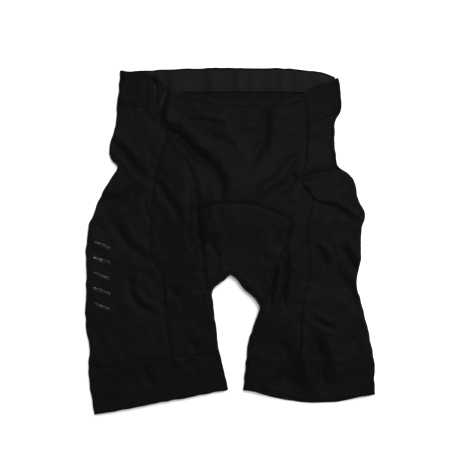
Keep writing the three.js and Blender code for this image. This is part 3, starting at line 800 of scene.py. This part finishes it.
def makeInnerStrip(name, node, loops, look, material):
    size, rows = len(loops[0]), len(loops)
    vertices, faces = [], []
    for depth in (0, look["thickness"]):
        for r, loop in enumerate(loops):
            rib = look["ribHeight"] * 0.5 * (1 + math.cos(2 * math.pi * look["ribs"] * (r / (rows - 1))))
            for place in loop:
                bend = noise.noise(Vector((place[0] / crinkle["around"], place[1] / crinkle["across"], 4.5)))
                wave = rib + (crinkle["middle"] + crinkle["height"] * bend) if depth else 0
                vertices.append(onCloth(place, -(look["inset"] + depth + wave)))
    layer = size * rows
    for r in range(rows - 1):
        for c in range(size):
            d = (c + 1) % size
            quad = (r * size + c, (r + 1) * size + c, (r + 1) * size + d, r * size + d)
            faces += [quad, tuple(layer + i for i in quad)[::-1]]
    for r, flip in ((0, 1), (rows - 1, -1)):
        for c in range(size):
            d = (c + 1) % size
            faces.append((r * size + c, r * size + d, layer + r * size + d, layer + r * size + c)[::flip])
    return addPiece(name, vertices, faces, node, [material])


# shared effects
def nodeGroup(name, inputs, outputs):
    tree = bpy.data.node_groups.new(name, "ShaderNodeTree")
    for label, value in inputs.items():
        socket = tree.interface.new_socket(label, in_out="INPUT", socket_type="NodeSocketFloat")
        socket.default_value = value
    for label in outputs:
        tree.interface.new_socket(label, in_out="OUTPUT", socket_type="NodeSocketFloat")
    return tree, tree.nodes.new("NodeGroupInput"), tree.nodes.new("NodeGroupOutput")


def addNode(tree, kind, links=(), **values):
    node = tree.nodes.new("ShaderNode" + kind)
    for key, value in values.items():
        setattr(node, key, value)
    for socket, value in dict(links).items():
        if isinstance(value, bpy.types.NodeSocket):
            tree.links.new(value, node.inputs[socket])
        else:
            node.inputs[socket].default_value = value
    return node


def setInputs(node, values):
    for socket, value in values.items():
        node.inputs[socket].default_value = value


def calc(tree, operation, a, b=0.0):
    return addNode(tree, "Math", {0: a, 1: b}, operation=operation).outputs[0]


def times(tree, a, b):
    return calc(tree, "MULTIPLY", a, b)


def plus(tree, a, b):
    return calc(tree, "ADD", a, b)


# rows of knitted loops: wales run up the garment, courses across it
def makeKnitFace():
    tree, start, end = nodeGroup("knitFace", {"Wales": 900.0, "Courses": 1100.0, "Unevenness": 0.5},
                                 ("Height", "Shade"))
    place = addNode(tree, "TexCoord").outputs["Object"]
    apart = addNode(tree, "SeparateXYZ", {"Vector": place})
    stray = addNode(tree, "TexNoise", {"Vector": place, "Scale": 320.0, "Detail": 2.0}).outputs["Fac"]
    bend = times(tree, stray, start.outputs["Unevenness"])
    turns = 2 * math.pi
    wale = times(tree, times(tree, apart.outputs["X"], start.outputs["Wales"]), turns / 2)
    waleWave = calc(tree, "ABSOLUTE", calc(tree, "SINE", plus(tree, wale, bend)))
    course = times(tree, times(tree, apart.outputs["Y"], start.outputs["Courses"]), turns)
    slanted = plus(tree, course, times(tree, waleWave, 1.6))
    courseWave = times(tree, calc(tree, "SINE", slanted), 0.3)
    loops = times(tree, waleWave, plus(tree, courseWave, 0.7))
    tree.links.new(loops, end.inputs["Height"])
    shade = plus(tree, times(tree, loops, 0.6), times(tree, stray, 0.4))
    tree.links.new(shade, end.inputs["Shade"])
    return tree


# broad fading, short creases as bumps, and a little lint
def makeClothWear():
    tree, start, end = nodeGroup("clothWear", {"Patch": 14.0, "Lint": 1.0}, ("Fade", "Lint", "Crease"))
    place = addNode(tree, "TexCoord").outputs["Object"]
    patch = addNode(tree, "TexNoise", {"Vector": place, "Scale": start.outputs["Patch"], "Detail": 5.0,
                                       "Roughness": 0.6}).outputs["Fac"]
    tree.links.new(addNode(tree, "MapRange", {0: patch, 1: 0.3, 2: 0.7}).outputs[0], end.inputs["Fade"])
    specks = addNode(tree, "TexVoronoi", {"Vector": place, "Scale": 420.0, "Randomness": 1.0})
    small = calc(tree, "LESS_THAN", specks.outputs["Distance"], 0.13)
    cover = addNode(tree, "TexNoise", {"Vector": place, "Scale": 130.0}).outputs["Fac"]
    chosen = calc(tree, "GREATER_THAN", cover, 0.62)
    lint = times(tree, times(tree, small, chosen), start.outputs["Lint"])
    tree.links.new(lint, end.inputs["Lint"])
    crease = addNode(tree, "TexNoise", {"Vector": place, "Scale": 75.0, "Detail": 4.0, "Distortion": 1.5})
    tree.links.new(crease.outputs["Fac"], end.inputs["Crease"])
    return tree


# fine cords across a band
def makeRibFace():
    tree, start, end = nodeGroup("ribFace", {"Ribs": 800.0}, ("Height",))
    place = addNode(tree, "TexCoord").outputs["Object"]
    apart = addNode(tree, "SeparateXYZ", {"Vector": place})
    stray = addNode(tree, "TexNoise", {"Vector": place, "Scale": 60.0, "Detail": 2.0}).outputs["Fac"]
    rib = times(tree, times(tree, apart.outputs["Y"], start.outputs["Ribs"]), 2 * math.pi)
    tree.links.new(calc(tree, "SINE", plus(tree, rib, stray)), end.inputs["Height"])
    return tree


knitFace, clothWear, ribFace = makeKnitFace(), makeClothWear(), makeRibFace()


# finishes: dark and light are (red and green, blue)
lintColor = (0.028, 0.028, 0.03, 1)


def toneOf(pair):
    return (pair[0], pair[0], pair[1], 1)


def blendTones(tree, share, first, second):
    return addNode(tree, "Mix", {0: share, 6: first, 7: second}, data_type="RGBA").outputs[2]


def clothMaterial(name, look):
    material = bpy.data.materials.new(name)
    material.use_nodes = True
    tree = material.node_tree
    shader = tree.nodes["Principled BSDF"]
    setInputs(shader, {"Specular IOR Level": look["specular"], "Sheen Weight": look.get("sheen", 0.0),
                       "Sheen Roughness": 0.4, "Coat Roughness": 0.1})
    knit = addNode(tree, "Group", node_tree=knitFace)
    setInputs(knit, {"Wales": look["wales"], "Courses": look["courses"],
                     "Unevenness": look.get("uneven", 0.8)})
    wear = addNode(tree, "Group", node_tree=clothWear)
    setInputs(wear, {"Lint": look.get("lint", 1.0)})
    dark, light = toneOf(look["dark"]), toneOf(look["light"])
    tone = blendTones(tree, wear.outputs["Fade"], dark, light)
    toned = blendTones(tree, knit.outputs["Shade"], tone, light)
    linted = blendTones(tree, wear.outputs["Lint"], toned, lintColor)
    tree.links.new(linted, shader.inputs["Base Color"])
    rough = addNode(tree, "MapRange", {0: knit.outputs["Shade"], 3: look["rough"][0], 4: look["rough"][1]})
    tree.links.new(rough.outputs[0], shader.inputs["Roughness"])
    rise = times(tree, knit.outputs["Height"], look["knitDepth"])
    if "ribs" in look:
        ribs = addNode(tree, "Group", node_tree=ribFace)
        setInputs(ribs, {"Ribs": look["ribs"]})
        rise = plus(tree, rise, times(tree, ribs.outputs["Height"], look["ribDepth"]))
    creased = plus(tree, rise, times(tree, wear.outputs["Crease"], look["creaseDepth"]))
    bump = addNode(tree, "Bump", {"Height": creased, "Distance": 0.001, "Strength": look.get("bump", 0.5)})
    tree.links.new(bump.outputs["Normal"], shader.inputs["Normal"])
    return material


looks = {
    "stretchCloth": {"dark": (0.00152, 0.002), "light": (0.0024, 0.00312), "specular": 0.024,
                     "rough": (0.54, 0.66), "sheen": 0.0272, "wales": 950, "courses": 1150, "knitDepth": 0.10,
                     "creaseDepth": 0.9},
    "bandClothBlue": {"dark": (0.0012, 0.00152), "light": (0.00192, 0.0024), "specular": 0.024,
                      "rough": (0.55, 0.7), "sheen": 0.016, "wales": 700, "courses": 800, "knitDepth": 0.14,
                      "creaseDepth": 0.6},
    "bandCloth": {"dark": (0.00128, 0.00128), "light": (0.002, 0.002), "specular": 0.024,
                  "rough": (0.55, 0.7), "sheen": 0.0096, "wales": 700, "courses": 800, "knitDepth": 0.14,
                  "creaseDepth": 0.6},
    "ribbedElastic": {"dark": (0.002, 0.00208), "light": (0.00336, 0.00344), "specular": 0.04,
                      "rough": (0.5, 0.65), "sheen": 0.016, "wales": 500, "courses": 600, "knitDepth": 0.2,
                      "ribs": 900, "ribDepth": 0.03, "creaseDepth": 0.3},
    "padCloth": {"dark": (0.012, 0.014), "light": (0.018, 0.020), "specular": 0.15,
                 "rough": (0.7, 0.85), "sheen": 0.05, "wales": 600, "courses": 600, "knitDepth": 0.25,
                 "creaseDepth": 0.4},
    "padFoam": {"dark": (0.10, 0.11), "light": (0.14, 0.15), "specular": 0.2,
                "rough": (0.85, 0.95), "wales": 400, "courses": 400, "knitDepth": 0.3, "creaseDepth": 0.5},
    "seamCloth": {"dark": (0.00144, 0.00184), "light": (0.00224, 0.00288), "specular": 0.016,
                  "rough": (0.6, 0.75), "sheen": 0.0048, "wales": 950, "courses": 1150, "knitDepth": 0.10,
                  "creaseDepth": 0.3},
    "blackThread": {"dark": (0.00144, 0.0016), "light": (0.0024, 0.00256), "specular": 0.064,
                    "rough": (0.4, 0.5), "sheen": 0.016, "wales": 2200, "courses": 2200, "knitDepth": 0.1,
                    "creaseDepth": 0.1, "lint": 0.3},
    "gripRubber": {"dark": (0.00336, 0.00368), "light": (0.0052, 0.0056), "specular": 0.096,
                   "rough": (0.45, 0.55), "wales": 300, "courses": 700, "knitDepth": 0.3, "creaseDepth": 0.2},
    "glossFilm": {"dark": (0.00064, 0.00064), "light": (0.00112, 0.00112), "specular": 0.2,
                  "rough": (0.12, 0.2), "wales": 520, "courses": 380, "uneven": 4.0, "knitDepth": 0.3,
                  "creaseDepth": 0.8, "bump": 0.6, "lint": 0.0},
}
finishes = {name: clothMaterial(name, look) for name, look in looks.items()}
print("finishes:", len(finishes))


# the cut pieces of cloth
def cutPanel(number):
    work = bmesh.new()
    work.from_mesh(fineMesh)
    others = [face for face in work.faces if face.material_index != number]
    bmesh.ops.delete(work, geom=others, context="FACES")
    work.verts.index_update()
    vertices = [tuple(vert.co) for vert in work.verts]
    faces = [tuple(vert.index for vert in face.verts) for face in work.faces]
    work.free()
    return vertices, faces


panelPlan = {  # node, finish, flat size in metres, what it rests on
    "frontPanel": ("front_panel", "stretchCloth", (0.29, 0.37), "pad_base_cloth"),
    "gusset": ("crotch_gusset", "stretchCloth", (0.17, 0.30), "pad_base_cloth"),
    "sideRight": ("side_panel_right", "stretchCloth", (0.23, 0.36), "leg_band_right"),
    "sideLeft": ("side_panel_left", "stretchCloth", (0.23, 0.36), "leg_band_left"),
    "backRight": ("back_panel_right", "stretchCloth", (0.13, 0.34), "crotch_gusset"),
    "backLeft": ("back_panel_left", "stretchCloth", (0.13, 0.34), "crotch_gusset"),
    "waistbandCloth": ("waistband", "bandCloth", (0.44, 0.07), "waist_elastic"),
    "binding": ("front_waist_binding", "stretchCloth", (0.19, 0.02), "front_panel"),
    "legBandRight": ("leg_band_right", "bandCloth", (0.40, 0.08), "leg_gripper_right"),
    "legBandLeft": ("leg_band_left", "bandClothBlue", (0.40, 0.08), "leg_gripper_left"),
}


bindingLook = {"thickness": 1.2, "offset": -0.7}


for number, name in enumerate(panelNames):
    node, finishName, flatSize, under = panelPlan[name]
    vertices, faces = cutPanel(number)
    isBinding = name == "binding"
    slotName = "band_cloth" if finishName != "stretchCloth" or isBinding else "stretch_cloth"
    piece = addPiece(name, vertices, faces, node, [finishes[finishName]])
    shell = piece.modifiers.new("Thickness", "SOLIDIFY")
    shell.thickness = (bindingLook["thickness"] if isBinding else garment["clothThickness"]) * mm
    shell.offset = bindingLook["offset"] if isBinding else -1
    if isBinding:
        rounded = piece.modifiers.new("Rounded edge", "SUBSURF")
        rounded.levels = rounded.render_levels = 1


# seams
def nodeFor(name):
    return "".join("_" + letter.lower() if letter.isupper() else letter for letter in name)


for name, (path, closed, _) in seamPlan.items():
    seam = makeSeam(name, nodeFor(name), path, closed, finishes["seamCloth"], finishes["blackThread"])
print("seams:", len(seamPlan))


# elastic and grippers inside
elastic = {"from": 3.0, "to": 31.0, "rows": 72, "ribs": 12, "ribHeight": 0.2, "inset": 0.95, "thickness": 0.5,
           "front": 40, "back": 50}
gripper = {"share": 0.14, "to": 0.995, "rows": 25, "ribs": 6, "ribHeight": 0.3, "inset": 0.95,
           "thickness": 0.4, "front": 40, "back": 40}


def halfLoop(row, start, frontSteps, backSteps):
    front = [frontPoint(row, reach)[0] for reach in steps(frontSteps, start, row["rim"])]
    rim = [cell[0] for cell in sideRim(row)]
    back = [backPoint(row, reach)[0] for reach in steps(backSteps, row["rim"], start)]
    return front + rim[1:-1] + back


def waistLoop(drop):
    halves = [halfLoop(waistRow(side, drop), 0, elastic["front"], elastic["back"]) for side in sides]
    return halves[0] + halves[1][::-1][1:-1]


def legLoop(side, share):
    row = legRow(side, share)
    fold = [cell[0] for cell in foldRim(row["fold"])][::-1]
    return halfLoop(row, row["inner"], gripper["front"], gripper["back"]) + fold[1:-1]


waistLoops = [waistLoop(drop) for drop in steps(elastic["rows"], elastic["from"], elastic["to"])]
band = makeInnerStrip("waistElastic", "waist_elastic", waistLoops, elastic, finishes["ribbedElastic"])
for side in sides:
    name = side["name"].capitalize()
    legLoops = [legLoop(side, share) for share in steps(gripper["rows"], 1 - gripper["share"], gripper["to"])]
    grip = makeInnerStrip("legGripper" + name, "leg_gripper_" + side["name"], legLoops, gripper,
                          finishes["gripRubber"])
print("elastic and grippers done")


# the seat pad
padPlan = {  # finish, slot, flat size of a sheet or fill of a cushion
    "padBaseCloth": ("padCloth", "pad_cloth", (0.17, 0.34)),
    "padTopCloth": ("padCloth", "pad_cloth", (0.17, 0.34)),
    "padFoam": ("padFoam", "foam", 0.7),
    "padSitFoamRight": ("padFoam", "foam", 0.8),
    "padSitFoamLeft": ("padFoam", "foam", 0.8),
}
# the pad is pressed flatter under the cloth, and moved up where it nears the crotch
padSquash = {"most": 0.84, "gap": 1.7, "cadRoof": 21.4, "lift": 5.5, "liftFrom": 28, "liftOver": 24,
             "above": 60}


for name, (finishName, slotName, form) in padPlan.items():
    node = nodeFor(name)
    work = bmesh.new()
    work.from_mesh(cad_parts[node].data)
    bmesh.ops.subdivide_edges(work, edges=work.edges, cuts=1, use_grid_fill=True)
    bmesh.ops.smooth_vert(work, verts=work.verts, factor=0.3, use_axis_x=True, use_axis_y=True,
                          use_axis_z=True)
    mesh = bpy.data.meshes.new(name)
    work.to_mesh(mesh)
    work.free()
    for vert in mesh.vertices:
        x, y = (vert.co.x - middleX) / mm, (vert.co.y - crotchY) / mm
        roof = surface.ray_cast(Vector((x, y, padSquash["above"])), Vector((0, 0, -1)))[0]
        room = (roof.z - padSquash["gap"]) / padSquash["cadRoof"] if roof else 1
        vert.co.z *= min(padSquash["most"], room)
        vert.co.y += padSquash["lift"] * mm * smooth((padSquash["liftFrom"] - y) / padSquash["liftOver"])
    mesh.materials.clear()
    mesh.materials.append(finishes[finishName])
    piece = finishPiece(place(name, mesh), node)
print("pad done")


# glossy marks on the right thigh
mark = {"count": 5, "bar": 5.2, "slant": 9.0, "rise": 0.12, "sunk": 0.1, "beads": 6, "beadRise": 0.95,
        "across": 60, "down": 9}


def makeMark(number):
    low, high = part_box("transfer_mark_" + str(number))
    start, end = (low.x - middleX) / mm, (high.x - middleX) / mm
    top = (high.y - crotchY) / mm
    vertices, faces = [], []
    for layer in (-mark["sunk"], mark["rise"]):
        for i, u in enumerate(steps(mark["across"])):
            for j, v in enumerate(steps(mark["down"])):
                roundness = math.sqrt(max(0.0, 1 - (2 * u - 1) ** 8))
                y = top - mark["slant"] * u - mark["bar"] / 2 + (0.5 - v) * mark["bar"] * roundness
                edge = min(u, 1 - u, v, 1 - v) > 0
                dome = abs(math.sin(math.pi * mark["beads"] * u)) * (1 - (2 * v - 1) ** 2)
                size = 0.5 + noise.noise(Vector((math.floor(mark["beads"] * u) * 1.7, number * 2.3, 0.5)))
                bead = mark["beadRise"] * dome * max(0, size)
                rise = layer + bead if edge and layer > 0 else min(layer, 0.0)
                vertices.append(onCloth((mix(start, end, u), y, 13), rise))
    wide, tall = mark["down"] + 1, mark["across"] + 1
    layerSize = wide * tall

    def at(layer, i, j):
        return layer * layerSize + i * wide + j
    for i in range(mark["across"]):
        for j in range(mark["down"]):
            quad = (at(1, i, j), at(1, i, j + 1), at(1, i + 1, j + 1), at(1, i + 1, j))
            faces += [quad[::-1], tuple(k - layerSize for k in quad)]
    across, down = mark["across"], mark["down"]
    rim = [(i, 0) for i in range(across)] + [(across, j) for j in range(down)]
    rim += [(i, down) for i in range(across, 0, -1)] + [(0, j) for j in range(down, 0, -1)]
    for (i, j), (k, m) in zip(rim, rim[1:] + rim[:1]):
        faces.append((at(0, i, j), at(0, k, m), at(1, k, m), at(1, i, j)))
    piece = addPiece("transferMark" + str(number), vertices, faces, "transfer_mark_" + str(number),
                     [finishes["glossFilm"]])


for number in range(1, mark["count"] + 1):
    makeMark(number)


# floor, light and camera
stage = {"floorColor": (0.92, 0.92, 0.92), "floorSize": 6.0, "floorDepth": -0.0004, "keyPower": 92,
         "fillPower": 12, "world": 0.75, "frameWidth": 0.598}


def makeFloor():
    size, depth = stage["floorSize"], stage["floorDepth"]
    corners = [(-size, -size, depth), (size, -size, depth), (size, size, depth), (-size, size, depth)]
    mesh = bpy.data.meshes.new("floor")
    mesh.from_pydata(corners, [], [(0, 1, 2, 3)])
    floor = place("floor", mesh)
    material = bpy.data.materials.new("palePaper")
    material.use_nodes = True
    shader = material.node_tree.nodes["Principled BSDF"]
    setInputs(shader, {"Base Color": (*stage["floorColor"], 1), "Roughness": 0.85, "Specular IOR Level": 0.1})
    mesh.materials.append(material)


def makeLight(name, spot, size, power):
    lamp = bpy.data.lights.new(name, "AREA")
    lamp.shape = "RECTANGLE"
    lamp.size, lamp.size_y = size
    lamp.energy = power
    thing = place(name, lamp)
    thing.location = spot
    thing.rotation_euler = (-Vector(spot)).to_track_quat("-Z", "Y").to_euler()


def makeCamera():
    lens = bpy.data.cameras.new("camera")
    lens.lens, lens.sensor_width = 85, 36
    camera = place("camera", lens)
    camera.location = (-0.0002, 0.013, stage["frameWidth"] * lens.lens / lens.sensor_width + 0.01)
    bpy.context.scene.camera = camera


makeFloor()
makeLight("topSoftbox", (0.6, 1.0, 2.5), (1.5, 1.3), stage["keyPower"])
makeLight("lowSoftbox", (1.5, 0.9, 0.7), (0.8, 0.5), stage["fillPower"])
makeCamera()

world = bpy.data.worlds.new("studio")
world.use_nodes = True
setInputs(world.node_tree.nodes["Background"], {"Color": (1, 1, 1, 1), "Strength": stage["world"]})
bpy.context.scene.world = world
bpy.context.scene.view_settings.view_transform = "Standard"
